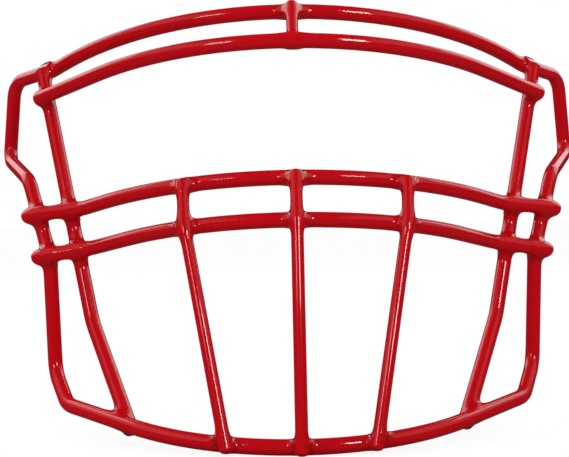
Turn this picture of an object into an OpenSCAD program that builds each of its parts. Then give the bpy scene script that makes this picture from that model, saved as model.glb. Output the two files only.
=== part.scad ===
// Football helmet facemask: ten bent wire rods crossed over one another, and the welds that hold them
// together as one stiff cage. Nothing in it moves. Sizes are in millimetres.
// The front faces -Y, the side that meets the helmet faces +Y, +Z is up and x = 0 is the mirror plane.
// Places are given from the middle of the chin bar: "back" is how far behind it, "up" how far above it.

/* [Wire] */
// Diameter of the thick rods, coating included
rod_d = 6.1; // [5:0.1:7.5]
// Diameter of the thin rods, coating included
thin_d = 4.9; // [4:0.1:6]
// How far the welding presses two crossing rods into each other
set_down = 0.5; // [0.3:0.1:0.8]
// Rounding of the coated rod ends
end_round = 1.4; // [0.6:0.1:1.9]

/* [Welds] */
// Radius of the fillet a weld leaves between two rods
fillet_r = 2.2; // [1.6:0.1:3]
// Radius of the web in the corner between two rods
corner_web_r = 1.6; // [1:0.1:2.4]
// Thickness of a weld at its rim
rim_t = 0.6; // [0.4:0.1:1]

/* [Perimeter loop, brow] */
// Brow: distance behind the chin
brow_back = 55; // [45:0.5:65]
// Brow: height above the chin
brow_up = 170.9; // [160:0.5:185]
// Brow: bend radius across the forehead
brow_r = 138; // [100:1:150]
// Brow: half width where the arc runs out
brow_half = 104.6; // [98:0.2:110]
// Brow: distance behind the chin where the arc runs out
brow_end_back = 99; // [94:0.5:104]
// Brow: height where the arc runs out
brow_end_up = 152.8; // [146:0.5:158]
// Brow: bend radius where the arc turns to the rear
brow_bend_r = 30; // [15:1:45]

/* [Perimeter loop, rear corners] */
// Half width of the upper rear corner
rear_top_half = 127.8; // [122:0.2:134]
// Distance of the upper rear corner behind the chin
rear_top_back = 126; // [120:0.5:134]
// Height of the upper rear corner
rear_top_up = 149.7; // [142:0.5:156]
// Half width of the lower rear corner
rear_low_half = 130.1; // [124:0.2:136]
// Distance of the lower rear corner behind the chin
rear_low_back = 124; // [118:0.5:132]
// Height of the lower rear corner
rear_low_up = 113.2; // [106:0.5:120]
// Bend radius of both rear corners
rear_r = 8; // [6:0.5:12]

/* [Perimeter loop, sides] */
// Half width at the bend in front of the ear
ear_half = 114.7; // [110:0.2:120]
// Distance of that bend behind the chin
ear_back = 86; // [82:0.5:90]
// Height of that bend
ear_up = 102.8; // [98:0.5:108]
// Radius of that bend
ear_r = 12; // [8:0.5:14]
// Half width at the cheek, where the side turns upright
cheek_half = 103.8; // [99:0.2:108]
// Distance of the cheek behind the chin
cheek_back = 71; // [67:0.5:75]
// Height of the cheek
cheek_up = 69.7; // [66:0.5:73]
// Bend radius at the cheek
cheek_r = 36; // [20:1:40]
// Half width at the jaw corner
jaw_half = 101.5; // [97:0.2:106]
// Distance of the jaw corner behind the chin
jaw_back = 68; // [64:0.5:72]
// Height of the jaw corner
jaw_up = 21.1; // [18:0.5:25]
// Bend radius at the jaw corner
jaw_r = 12; // [8:0.5:14]
// Half width where the chin arc starts
chin_half = 94.5; // [90:0.2:99]
// Distance behind the chin where the chin arc starts
chin_end_back = 53; // [49:0.5:56]
// Height where the chin arc starts
chin_end_up = 9.6; // [6:0.2:12]
// Bend radius where the chin arc starts
chin_bend_r = 12; // [8:0.5:14]
// Bend radius round the chin
chin_r = 95; // [80:1:98]

/* [Uprights] */
// Half width where an upright crosses the brow
upright_top_half = 106.1; // [102:0.2:109]
// Half width at the bend of an upright
upright_bend_half = 84.7; // [81:0.2:88]
// Distance of that bend behind the chin
upright_bend_back = 60; // [57:0.5:63]
// Height of that bend
upright_bend_up = 42.9; // [38:0.5:48]
// Radius of that bend
upright_bend_r = 30; // [15:1:40]
// Half width where an upright crosses the chin bar
upright_low_half = 71.5; // [67:0.2:76]
// How far the middle of an upright's trimmed top stands past the brow
upright_top_over = 0.3; // [0.1:0.1:3]
// Slope of that trimmed top, seen from the front
upright_top_slope = 26; // [16:1:32]
// How far an upright runs on past the chin bar
upright_low_over = 5.2; // [4:0.1:7]

/* [Lower brow bar] */
// Distance of the lower brow bar behind the chin
low_brow_back = 33; // [26:0.5:36]
// Height of the lower brow bar
low_brow_up = 156; // [150:0.5:159]
// Bend radius of the lower brow bar
low_brow_r = 122; // [100:1:124]
// Height at which it crosses the uprights
low_brow_cross_up = 138; // [134:0.5:142]
// How far it runs on past the uprights
low_brow_over = 0.8; // [0.6:0.1:5]

/* [Upper cross bar] */
// Distance of the upper cross bar behind the chin
upper_back = 28.5; // [26:0.5:34]
// Height of the upper cross bar
upper_up = 101.4; // [97:0.2:106]
// Bend radius of the upper cross bar
upper_r = 115; // [95:1:118]
// Height at which it crosses the uprights
upper_upright_up = 88; // [85:0.2:91]
// Height at which it crosses the side rods
upper_side_up = 86.1; // [83:0.2:89]

/* [Lower cross bar] */
// Distance of the lower cross bar behind the chin
lower_back = 20.5; // [17:0.5:23]
// Height of the lower cross bar
lower_up = 84.7; // [81:0.2:88]
// Bend radius of the lower cross bar
lower_r = 98; // [85:1:100]
// Height at which it crosses the uprights
lower_upright_up = 71; // [68:0.2:74]

/* [Bar ends] */
// Length from the outward bend of a cross bar to the upright
flare_len = 7.5; // [6.5:0.1:9]
// Radius of that outward bend
flare_r = 12; // [8:0.5:13]
// Angle a cross bar is wrapped round the side rod
wrap_angle = 35; // [25:1:60]

/* [Thin rods] */
// Half width of the diagonals at the upper cross bar
diagonal_top_half = 43; // [38:0.2:50]
// Half width of the diagonals at the lower cross bar
diagonal_mid_half = 41.9; // [38:0.2:48]
// Half width of the diagonals at the chin bar
diagonal_low_half = 27.3; // [20:0.2:34]
// Bend radius of the thin rods at the lower cross bar
thin_bend_r = 20; // [12:1:30]
// How far the thin rods stand past the upper cross bar
thin_top_over = 0.6; // [0.5:0.1:4]
// How far the thin rods stand past the chin bar
thin_low_over = 3.4; // [2.8:0.1:5]
// How far the brow strut stands past the brow
strut_top_over = 0.5; // [0.5:0.1:5]
// How far the brow strut stands past the lower brow bar
strut_low_over = 0.6; // [0.5:0.1:4]

/* [Looks] */
// Colour of the coated rods
rod_colour = [0.72, 0.05, 0.08];
// Colour of the coated welds
weld_colour = [0.62, 0.04, 0.07];

/* [Hidden] */
$fn = 96;
rod_r = rod_d / 2;
thin_r = thin_d / 2;
// distance between the middles of two thick rods that are welded, and of a thick and a thin one
thick_pitch = rod_d - set_down;
thin_pitch = rod_r + thin_r - set_down;
// a bend is a hair thicker than its straight runs, which lap into it, so that the two join soundly
bend_swell = 0.03;
lap = 0.25;
// how far short of a rod's end a weld stops
end_inset = 0.4;
// the way that a straight run's seam faces, off every plane that a bend starts or ends in
seam_way = unit([0.5, 0.8, 0.3]);

// Small vector helpers
function unit(v) = v / norm(v);
function flip(v) = [-v[0], v[1], v[2]];
function flipped(list) = [for (v = list) flip(v)];
function backwards(list) = [for (i = [len(list) - 1:-1:0]) list[i]];
function place(half, back, up) = [half, back, up];
// the direction square to two rods that points to the front
function to_front(a, b) = let(n = unit(cross(a, b))) n[1] < 0 ? n : -n;

// A bow is the arc of a bar across the front: it leans back by a tilt and its two ends run straight on to
// an end point. It is kept as [back, up, radius, tilt, half angle of the arc, corner of its two ends].
function bow(back, up, r_asked, end) = let(
    run = norm([end[1] - back, end[2] - up]),
    r = min(r_asked, 0.998 * (end[0] * end[0] + run * run) / (2 * run)),
    tilt = atan2(up - end[2], end[1] - back),
    half = asin(r / norm([end[0], r - run])) - atan2(r - run, end[0]),
    nose = r * (1 / cos(half) - 1)
  ) [back, up, r, tilt, half, [0, back - nose * cos(tilt), up + nose * sin(tilt)]];
function bow_depth(b, x) = abs(x) < b[2] * sin(b[4])
  ? b[2] - sqrt(b[2] * b[2] - x * x)
  : abs(x) * tan(b[4]) - b[2] * (1 / cos(b[4]) - 1);
function bow_point(b, x) = let(s = bow_depth(b, x)) [x, b[0] + s * cos(b[3]), b[1] - s * sin(b[3])];
function bow_way(b, x) = let(a = min(asin(min(1, abs(x) / b[2])), b[4]) * sign(x))
  [cos(a), sin(a) * cos(b[3]), -sin(a) * sin(b[3])];

// The point of a straight run between two points at a given height, and its direction
function at_height(a, b, up) = a + (b - a) * (up - a[2]) / (b[2] - a[2]);

// A corner of a rod: [point, direction in, direction out, angle, radius, length taken on each side]
function corner(pts, radii, i) = let(
    n = len(pts), p = pts[i], u = unit(p - pts[(i + n - 1) % n]), v = unit(pts[(i + 1) % n] - p),
    angle = acos(max(-1, min(1, u * v)))
  ) [p, u, v, angle, radii[i], radii[i] * tan(angle / 2)];
// the middle of the bend at a corner, and the direction there
function bend_middle(c) = c[0] + unit(c[2] - c[1]) * c[4] * (1 / cos(c[3] / 2) - 1);
function bend_way(c) = unit(c[1] + c[2]);
// the point of a bend at a given distance from the middle of the cage, and the direction there
function bend_at(c, half) = let(
    w = unit(c[2] - c[1] * (c[1] * c[2])), s = c[0] - c[1] * c[5], reach = norm([c[1][0], w[0]]),
    a = atan2(w[0], c[1][0]) + asin(((half - s[0]) / c[4] - w[0]) / reach)
  ) [s + (c[1] * sin(a) + w * (1 - cos(a))) * c[4], c[1] * cos(a) + w * sin(a)];
function reversed(c) = [c[0], -c[2], -c[1], c[3], c[4], c[5]];
// the same on a rod's stretch that runs along a bow, round the corner c after it, and straight on
function bow_corner_at(b, c, half) =
  half <= (c[0] - c[1] * c[5])[0] ? [bow_point(b, half), bow_way(b, half)]
  : half < (c[0] + c[2] * c[5])[0] ? bend_at(c, half)
  : [c[0] + c[2] * (half - c[0][0]) / c[2][0], c[2]];

// Perimeter loop
brow_end = place(brow_half, brow_end_back, brow_end_up);
ear = place(ear_half, ear_back, ear_up);
cheek = place(cheek_half, cheek_back, cheek_up);
jaw = place(jaw_half, jaw_back, jaw_up);
chin_end = place(chin_half, chin_end_back, chin_end_up);
brow_bow = bow(brow_back, brow_up, brow_r, brow_end);
chin_bow = bow(0, 0, chin_r, chin_end);
side_pts = [
  brow_end, place(rear_top_half, rear_top_back, rear_top_up),
  place(rear_low_half, rear_low_back, rear_low_up), ear, cheek, jaw, chin_end
];
side_radii = [brow_bend_r, rear_r, rear_r, ear_r, cheek_r, jaw_r, chin_bend_r];
loop_pts = concat([brow_bow[5]], side_pts, [chin_bow[5]], backwards(flipped(side_pts)));
loop_radii = concat([brow_bow[2]], side_radii, [chin_bow[2]], backwards(side_radii));
loop_rod = [loop_pts, loop_radii, rod_d, true];

// Uprights: in front of the brow, behind every other bar
upright_bend = place(upright_bend_half, upright_bend_back, upright_bend_up);
brow_spot = bow_corner_at(brow_bow, corner(loop_pts, loop_radii, 1), upright_top_half);
chin_spot = bow_corner_at(chin_bow, reversed(corner(loop_pts, loop_radii, 7)), upright_low_half);
top_on_brow = brow_spot[0];
top_way = brow_spot[1];
low_on_chin = chin_spot[0];
low_way = chin_spot[1];
top_guess = top_on_brow + to_front(top_way, top_on_brow - upright_bend) * thick_pitch;
low_guess = low_on_chin - to_front(low_way, upright_bend - low_on_chin) * thick_pitch;
top_front = to_front(top_way, top_guess - upright_bend);
low_front = to_front(low_way, upright_bend - low_guess);
upright_top = top_on_brow + top_front * thick_pitch;
upright_low = low_on_chin - low_front * thick_pitch;
upper_part = unit(upright_top - upright_bend);
lower_part = unit(upright_bend - upright_low);
// the top is bent over length and trimmed along the brow afterwards
upright_pts = [
  upright_top + upper_part * (upright_top_over + rod_d), upright_bend,
  upright_low - lower_part * upright_low_over
];
trim_face = unit(cross([cos(upright_top_slope), 0, -sin(upright_top_slope)], top_way));
function upright_at(up) = at_height(upright_top, upright_bend, up);

// Lower brow bar: each pass brings the bar's direction and its contact with the upright closer together
low_brow_at = upright_at(low_brow_cross_up);
function low_brow_pass(way, k) = let(
    touch = low_brow_at + to_front(way, upper_part) * thick_pitch,
    b = bow(low_brow_back, low_brow_up, low_brow_r, touch)
  ) k == 0 ? [touch, b] : low_brow_pass(bow_way(b, touch[0]), k - 1);
low_brow_fit = low_brow_pass(unit([0.7, 0.68, -0.2]), 5);
low_brow_bow = low_brow_fit[1];
low_brow_touch = low_brow_fit[0];
low_brow_way = bow_way(low_brow_bow, low_brow_touch[0]);
low_brow_end = low_brow_touch + low_brow_way * low_brow_over;
low_brow_rod = [[flip(low_brow_end), low_brow_bow[5], low_brow_end], [0, low_brow_bow[2], 0], rod_d, false];

// Cross bars: a straight flare lies against the upright and the side rod, then wraps round the side rod
cheek_corner = corner(loop_pts, loop_radii, 5);
function flare_pass(up_at, side_at, side_way, way, k) = let(
    a = up_at + to_front(way, upper_part) * thick_pitch,
    b = side_at + to_front(way, side_way) * thick_pitch
  ) k == 0 ? [a, b, unit(b - a)] : flare_pass(up_at, side_at, side_way, unit(b - a), k - 1);
function wrap_pts(f, side_way) = let(
    t = thick_pitch * tan(wrap_angle / 2),
    turn = f[1] + f[2] * t,
    away = f[2] * cos(wrap_angle) - to_front(f[2], side_way) * sin(wrap_angle)
  ) [f[0] - f[2] * flare_len, turn, turn + away * (t + end_round + 0.4)];
function cross_rod(b, w) = [
    concat(backwards(flipped(w)), [b[5]], w),
    [0, thick_pitch, flare_r, b[2], flare_r, thick_pitch, 0], rod_d, false
  ];
ear_way = unit(cheek - ear);
upper_fit = flare_pass(upright_at(upper_upright_up), at_height(ear, cheek, upper_side_up), ear_way, [1, 0, 0], 5);
upper_wrap = wrap_pts(upper_fit, ear_way);
upper_bow = bow(upper_back, upper_up, upper_r, upper_wrap[0]);
upper_rod = cross_rod(upper_bow, upper_wrap);
cheek_way = bend_way(cheek_corner);
lower_fit = flare_pass(upright_at(lower_upright_up), bend_middle(cheek_corner), cheek_way, [1, 0, 0], 5);
lower_wrap = wrap_pts(lower_fit, cheek_way);
lower_bow = bow(lower_back, lower_up, lower_r, lower_wrap[0]);
lower_rod = cross_rod(lower_bow, lower_wrap);

// Thin rods: laid on the front of both cross bars and the chin bar, with one bend at the lower cross bar
function thin_pass(xs, ways, k) = let(
    n = [for (i = [0:2]) to_front(thin_bar_way(i, xs[i]), ways[i])],
    q = [for (i = [0:2]) thin_bar_point(i, xs[i]) + n[i] * thin_pitch],
    a = unit(q[0] - q[1]), b = unit(q[1] - q[2])
  ) k == 0 ? [q, n, a, b] : thin_pass(xs, [a, unit(a + b), b], k - 1);
function thin_bar(i) = [upper_bow, lower_bow, chin_bow][i];
function thin_bar_way(i, x) = bow_way(thin_bar(i), x);
function thin_bar_point(i, x) = bow_point(thin_bar(i), x);
function thin_fit(xs) = thin_pass(xs, [[0, 0.5, 1], [0, 0.35, 1], [0, 0.2, 1]], 4);
// the bend is moved outward so that the rod, not its corner, rests on the bar
function thin_rod(f) = let(
    lift = thin_bend_r * (1 / cos(acos(min(1, f[2] * f[3])) / 2) - 1)
  ) [
    [f[0][0] + f[2] * thin_top_over, f[0][1] + f[1][1] * lift, f[0][2] - f[3] * thin_low_over],
    [0, thin_bend_r, 0], thin_d, false
  ];
centre_fit = thin_fit([0, 0, 0]);
centre_rod = thin_rod(centre_fit);
diagonal_fit = thin_fit([diagonal_top_half, diagonal_mid_half, diagonal_low_half]);
diagonal_rod = thin_rod(diagonal_fit);

// Brow strut: in front of the brow, behind the lower brow bar
function strut_pass(way, k) = let(
    n = to_front([1, 0, 0], way),
    a = bow_point(brow_bow, 0) + n * thin_pitch, b = bow_point(low_brow_bow, 0) - n * thin_pitch
  ) k == 0 ? [a, b, unit(a - b), n] : strut_pass(unit(a - b), k - 1);
strut_fit = strut_pass([0, 0.6, 0.8], 5);
strut_rod = [
  [strut_fit[0] + strut_fit[2] * strut_top_over, strut_fit[1] - strut_fit[2] * strut_low_over],
  [0, 0], thin_d, false
];
right_upright_rod = [upright_pts, [0, upright_bend_r, 0], rod_d, false];
function mirror_rod(r) = [flipped(r[0]), r[1], r[2], r[3]];

// The shared origin: half way from the lower end of the centre vertical, which is foremost, to the upper
// rear corners, and level with the underside of the chin bar
front_way = centre_fit[3];
front_reach = (centre_rod[0][2] + front_way * end_round)[1] - end_round
  - (thin_r - end_round) * norm([front_way[0], front_way[2]]);
rear_corner = corner(loop_pts, loop_radii, 2);
rear_side = unit(rear_corner[2] - rear_corner[1] * (rear_corner[1] * rear_corner[2]));
rear_reach = (rear_corner[0] - rear_corner[1] * rear_corner[5] + rear_side * rear_r)[1]
  + rear_r * norm([rear_corner[1][1], rear_side[1]]) + rod_r + bend_swell / 2;
origin_back = (front_reach + rear_reach) / 2;
origin_up = -rod_r - bend_swell / 2;

// Places every node in the shared frame
module placed() {
  translate([0, -origin_back, -origin_up]) children();
}

// A straight run of round rod, with a rounded end at its start (ends[0]) or its finish (ends[1])
module straight(a, b, d, ends) {
  w = unit(b - a);
  u = unit(cross(w, abs(w * seam_way) < 0.9 ? seam_way : [0.3, -0.5, 0.8]));
  v = cross(w, u);
  multmatrix([
    [u[0], v[0], w[0], a[0]], [u[1], v[1], w[1], a[1]], [u[2], v[2], w[2], a[2]], [0, 0, 0, 1]
  ]) {
    cylinder(h = norm(b - a), d = d);
    if (ends[0]) rotate([180, 0, 0]) rod_end(d);
    if (ends[1]) translate([0, 0, norm(b - a)]) rod_end(d);
  }
}

// The rounded end of a rod
module rod_end(d) {
  rotate_extrude() {
    square([d / 2 - end_round, end_round]);
    intersection() {
      translate([d / 2 - end_round, 0]) circle(r = end_round);
      square([d / 2, end_round]);
    }
  }
}

// A bend of round rod, a true piece of a ring
module bend(c, d) {
  w = unit(c[2] - c[1] * (c[1] * c[2]));
  k = cross(c[1], w);
  m = c[0] - c[1] * c[5] + w * c[4];
  multmatrix([
    [-w[0], c[1][0], k[0], m[0]], [-w[1], c[1][1], k[1], m[1]], [-w[2], c[1][2], k[2], m[2]], [0, 0, 0, 1]
  ]) rotate_extrude(angle = c[3], $fn = c[4] > 60 ? 360 : 120)
    translate([c[4], 0]) circle(d = d + bend_swell);
}

// Is the place p within reach of the straight run from a to b, or of the bend at corner c?
function near_run(p, a, b, reach) = let(
    w = unit(b - a), s = max(0, min(norm(b - a), (p - a) * w))
  ) norm(p - a - w * s) < reach;
function near_bend(p, c, reach) = let(
    w = unit(c[2] - c[1] * (c[1] * c[2])), m = c[0] - c[1] * c[5] + w * c[4],
    turned = atan2((p - m) * c[1], -((p - m) * w)), spare = min(80, reach / c[4] * 57.3)
  ) abs(norm(p - m) - c[4]) < reach && turned > -spare && turned < c[3] + spare;

// A whole rod, or only the pieces of it near a place p
module rod(r, p = undef, reach = 9) {
  pts = r[0];
  radii = r[1];
  d = r[2];
  closed = r[3];
  n = len(pts);
  cut = [for (i = [0:n - 1]) !closed && (i == 0 || i == n - 1) ? end_round : corner(pts, radii, i)[5] - lap];
  for (i = [0:closed ? n - 1 : n - 2]) {
    j = (i + 1) % n;
    w = unit(pts[j] - pts[i]);
    a = pts[i] + w * cut[i];
    b = pts[j] - w * cut[j];
    if (is_undef(p) || near_run(p, a, b, reach))
      straight(a, b, d, [!closed && i == 0, !closed && i == n - 2]);
  }
  for (i = [closed ? 0 : 1:closed ? n - 1 : n - 2]) {
    c = corner(pts, radii, i);
    if (is_undef(p) || near_bend(p, c, reach)) bend(c, d);
  }
}

// A weld where rod a (direction wa) passes rod b (direction wb), with n the way from a to b.
// p is on the middle line of rod a. The body has a hollow fillet all round and four hollow corner webs,
// and both rods are cut out of it. It reaches past[0] back and past[1] on along rod b, so it stops where
// that rod does.
module weld(a, b, p, wa, wb, n, past) {
  ra = a[2] / 2;
  rb = b[2] / 2;
  m = p + n * (ra - set_down / 2);
  sine = norm(cross(wa, wb));
  ca = (rb + corner_web_r) / sine;
  cb = (ra + corner_web_r) / sine;
  u = wa;
  v = cross(n, u);
  bu = wb * u;
  bv = wb * v;
  difference() {
    multmatrix([
      [u[0], v[0], n[0], m[0]], [u[1], v[1], n[1], m[1]], [u[2], v[2], n[2], m[2]], [0, 0, 0, 1]
    ]) intersection() {
      rotate_extrude() weld_profile(ra, rb);
      translate([0, 0, -5]) linear_extrude(10) difference() {
        intersection() {
          polygon([for (s = [[1, 1], [-1, 1], [-1, -1], [1, -1]])
            [s[0] * ca + s[1] * cb * bu, s[1] * cb * bv]]);
          rotate(atan2(bv, bu)) translate([-past[0], -10]) square([past[0] + past[1], 20]);
        }
        for (s = [[1, 1], [-1, 1], [-1, -1], [1, -1]])
          translate([s[0] * ca + s[1] * cb * bu, s[1] * cb * bv]) circle(r = corner_web_r);
      }
    }
    rod(a, m, 14);
    rod(b, m, 14);
  }
}

// Half of a weld's turned outline above the contact is shaped by rod b, half below by rod a
module weld_profile(ra, rb) {
  out = 2 * sqrt(min(ra, rb) * fillet_r) + 0.4;
  difference() {
    translate([0, -2.2]) square([out, 4.4]);
    for (s = [1, -1]) {
      r = s > 0 ? rb : ra;
      c = 2 * sqrt(r * fillet_r);
      translate([c, s * (fillet_r + rim_t / 2)]) circle(r = fillet_r);
      translate([c, s > 0 ? rim_t / 2 : -rim_t / 2 - 4]) square([4, 4]);
    }
  }
}

// Rods
module perimeter_loop() color(rod_colour) placed() rod(loop_rod);
module lower_brow_bar() color(rod_colour) placed() rod(low_brow_rod);
module brow_strut() color(rod_colour) placed() difference() {
  rod(strut_rod);
  rod(loop_rod, strut_fit[0]);
  rod(low_brow_rod, strut_fit[1]);
}
module upright(side) {
  u = side > 0 ? right_upright_rod : mirror_rod(right_upright_rod);
  color(rod_colour) placed() difference() {
    rod(u);
    rod(loop_rod, on(side, upright_top));
    rod(low_brow_rod, on(side, low_brow_at));
    rod(upper_rod, on(side, upper_fit[0]));
    rod(lower_rod, on(side, lower_fit[0]));
    rod(loop_rod, on(side, upright_low));
    top_trim(side, 0);
  }
}
function on(side, p) = side > 0 ? p : flip(p);
// What is trimmed off the top of an upright, or a little lower for its weld
module top_trim(side, lower) {
  m = on(side, upright_top + upper_part * (upright_top_over - lower));
  w = on(side, trim_face);
  u = unit(cross([0, 1, 0], w));
  v = cross(w, u);
  multmatrix([
    [u[0], v[0], w[0], m[0]], [u[1], v[1], w[1], m[1]], [u[2], v[2], w[2], m[2]], [0, 0, 0, 1]
  ]) translate([-10, -10, 0]) cube([20, 20, 14]);
}
module left_upright() upright(-1);
module right_upright() upright(1);
module upper_cross_bar() color(rod_colour) placed() difference() {
  rod(upper_rod);
  for (side = [-1, 1]) rod(loop_rod, on(side, upper_fit[1]));
}
module lower_cross_bar() color(rod_colour) placed() difference() {
  rod(lower_rod);
  for (side = [-1, 1]) rod(loop_rod, on(side, lower_fit[1]));
}
module thin(r, f, side) color(rod_colour) placed() difference() {
  rod(r);
  rod(upper_rod, on(side, f[0][0]));
  rod(lower_rod, on(side, f[0][1]));
  rod(loop_rod, on(side, f[0][2]));
}
module centre_vertical() thin(centre_rod, centre_fit, 1);
module left_diagonal() thin(mirror_rod(diagonal_rod), diagonal_fit, -1);
module right_diagonal() thin(diagonal_rod, diagonal_fit, 1);

// Welds, each named after the rods it joins
module weld_on(side, a, b, p, wa, wb, n, past = [9, 9]) color(weld_colour) placed() {
  if (side > 0) weld(a, b, p, wa, wb, n, past);
  else weld(mirror_rod(a), mirror_rod(b), flip(p), flip(wa), flip(wb), flip(n), past);
}
module weld_strut_brow()
  weld_on(1, loop_rod, strut_rod, bow_point(brow_bow, 0), [1, 0, 0], strut_fit[2], strut_fit[3],
    [9, strut_top_over - end_inset]);
module weld_strut_low_brow()
  weld_on(1, low_brow_rod, strut_rod, bow_point(low_brow_bow, 0), [1, 0, 0], strut_fit[2], -strut_fit[3],
    [strut_low_over - end_inset, 9]);
module upright_brow(side) difference() {
  weld_on(side, loop_rod, right_upright_rod, top_on_brow, top_way, upper_part, top_front, [9, 0]);
  placed() top_trim(side, end_inset);
}
module weld_left_upright_brow() upright_brow(-1);
module weld_right_upright_brow() upright_brow(1);
module upright_low_brow(side)
  weld_on(side, right_upright_rod, low_brow_rod, low_brow_at, upper_part, low_brow_way,
    unit(low_brow_touch - low_brow_at), [9, low_brow_over - end_inset]);
module weld_left_upright_low_brow() upright_low_brow(-1);
module weld_right_upright_low_brow() upright_low_brow(1);
module side_weld(side, bar, f, at, way)
  weld_on(side, loop_rod, bar, at, way, f[2], unit(f[1] - at));
module weld_left_side_upper() side_weld(-1, upper_rod, upper_fit, at_height(ear, cheek, upper_side_up), ear_way);
module weld_right_side_upper() side_weld(1, upper_rod, upper_fit, at_height(ear, cheek, upper_side_up), ear_way);
module weld_left_side_lower() side_weld(-1, lower_rod, lower_fit, bend_middle(cheek_corner), cheek_way);
module weld_right_side_lower() side_weld(1, lower_rod, lower_fit, bend_middle(cheek_corner), cheek_way);
module upright_weld(side, bar, f, up)
  weld_on(side, right_upright_rod, bar, upright_at(up), upper_part, f[2], unit(f[0] - upright_at(up)));
module weld_left_upright_upper() upright_weld(-1, upper_rod, upper_fit, upper_upright_up);
module weld_right_upright_upper() upright_weld(1, upper_rod, upper_fit, upper_upright_up);
module weld_left_upright_lower() upright_weld(-1, lower_rod, lower_fit, lower_upright_up);
module weld_right_upright_lower() upright_weld(1, lower_rod, lower_fit, lower_upright_up);
module thin_weld(side, i, r, f, xs)
  weld_on(side, [upper_rod, lower_rod, loop_rod][i], r, thin_bar_point(i, xs[i]), thin_bar_way(i, xs[i]),
    [f[2], unit(f[2] + f[3]), f[3]][i], f[1][i],
    [i == 2 ? thin_low_over - end_inset : 9, i == 0 ? thin_top_over - end_inset : 9]);
diagonal_halves = [diagonal_top_half, diagonal_mid_half, diagonal_low_half];
module weld_left_diagonal_upper() thin_weld(-1, 0, diagonal_rod, diagonal_fit, diagonal_halves);
module weld_right_diagonal_upper() thin_weld(1, 0, diagonal_rod, diagonal_fit, diagonal_halves);
module weld_left_diagonal_lower() thin_weld(-1, 1, diagonal_rod, diagonal_fit, diagonal_halves);
module weld_right_diagonal_lower() thin_weld(1, 1, diagonal_rod, diagonal_fit, diagonal_halves);
module weld_left_diagonal_chin() thin_weld(-1, 2, diagonal_rod, diagonal_fit, diagonal_halves);
module weld_right_diagonal_chin() thin_weld(1, 2, diagonal_rod, diagonal_fit, diagonal_halves);
module weld_centre_upper() thin_weld(1, 0, centre_rod, centre_fit, [0, 0, 0]);
module weld_centre_lower() thin_weld(1, 1, centre_rod, centre_fit, [0, 0, 0]);
module weld_centre_chin() thin_weld(1, 2, centre_rod, centre_fit, [0, 0, 0]);
module upright_chin(side)
  weld_on(side, loop_rod, right_upright_rod, low_on_chin, low_way, lower_part, -low_front);
module weld_left_upright_chin() upright_chin(-1);
module weld_right_upright_chin() upright_chin(1);

perimeter_loop();
lower_brow_bar();
brow_strut();
left_upright();
right_upright();
upper_cross_bar();
lower_cross_bar();
centre_vertical();
left_diagonal();
right_diagonal();
weld_strut_brow();
weld_strut_low_brow();
weld_left_upright_brow();
weld_right_upright_brow();
weld_left_upright_low_brow();
weld_right_upright_low_brow();
weld_left_side_upper();
weld_right_side_upper();
weld_left_upright_upper();
weld_right_upright_upper();
weld_left_diagonal_upper();
weld_right_diagonal_upper();
weld_centre_upper();
weld_left_side_lower();
weld_right_side_lower();
weld_left_upright_lower();
weld_right_upright_lower();
weld_left_diagonal_lower();
weld_right_diagonal_lower();
weld_centre_lower();
weld_left_upright_chin();
weld_right_upright_chin();
weld_left_diagonal_chin();
weld_right_diagonal_chin();
weld_centre_chin();
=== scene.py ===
"""A football helmet's wire face guard, dressed for rendering.

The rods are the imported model's own solids under a glossy dip coat. Only the strut is a copy, with its hidden
end trimmed. Every weld is modelled again, as the smooth collar that the melted coat makes where two rods
cross. Lengths are in metres. Guard and Bow work in millimetres, and so do names that end in _MM.
"""

from copy import copy
from math import acos, asin, atan2, cos, hypot, pi, radians, sin, sqrt, tan

import bmesh
import bpy
import numpy as np
from bpy.props import FloatProperty, FloatVectorProperty, PointerProperty
from mathutils import Matrix, Vector


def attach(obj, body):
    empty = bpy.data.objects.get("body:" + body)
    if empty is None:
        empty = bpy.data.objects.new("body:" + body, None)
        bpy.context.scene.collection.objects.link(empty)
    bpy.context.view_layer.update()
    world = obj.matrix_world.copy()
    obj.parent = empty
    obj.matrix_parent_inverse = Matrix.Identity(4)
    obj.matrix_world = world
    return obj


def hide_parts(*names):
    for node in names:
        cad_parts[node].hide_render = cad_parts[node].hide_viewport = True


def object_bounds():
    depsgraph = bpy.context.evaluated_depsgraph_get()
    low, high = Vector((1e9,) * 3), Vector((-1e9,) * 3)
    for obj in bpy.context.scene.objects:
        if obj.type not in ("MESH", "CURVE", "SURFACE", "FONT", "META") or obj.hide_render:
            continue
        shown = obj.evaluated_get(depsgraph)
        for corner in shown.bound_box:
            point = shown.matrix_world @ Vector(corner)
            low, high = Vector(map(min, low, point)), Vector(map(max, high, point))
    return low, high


bl_info = {
    "name": "Wire Face Guard",
    "version": (1, 0, 0),
    "blender": (4, 5, 0),
    "location": "3D View > Sidebar > Face Guard",
    "description": "Coats the rods of a welded face guard, models its welds and lights it",
    "category": "Object",
}

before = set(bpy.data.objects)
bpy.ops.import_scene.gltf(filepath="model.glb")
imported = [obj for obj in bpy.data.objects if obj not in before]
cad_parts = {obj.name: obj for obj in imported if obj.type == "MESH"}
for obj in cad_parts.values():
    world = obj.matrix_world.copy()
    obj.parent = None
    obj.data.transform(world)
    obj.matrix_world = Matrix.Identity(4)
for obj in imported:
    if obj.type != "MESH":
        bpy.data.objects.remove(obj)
CAD_BOX = [list(map(float, corner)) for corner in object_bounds()]

MM = 0.001
BODY = "root"

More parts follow.
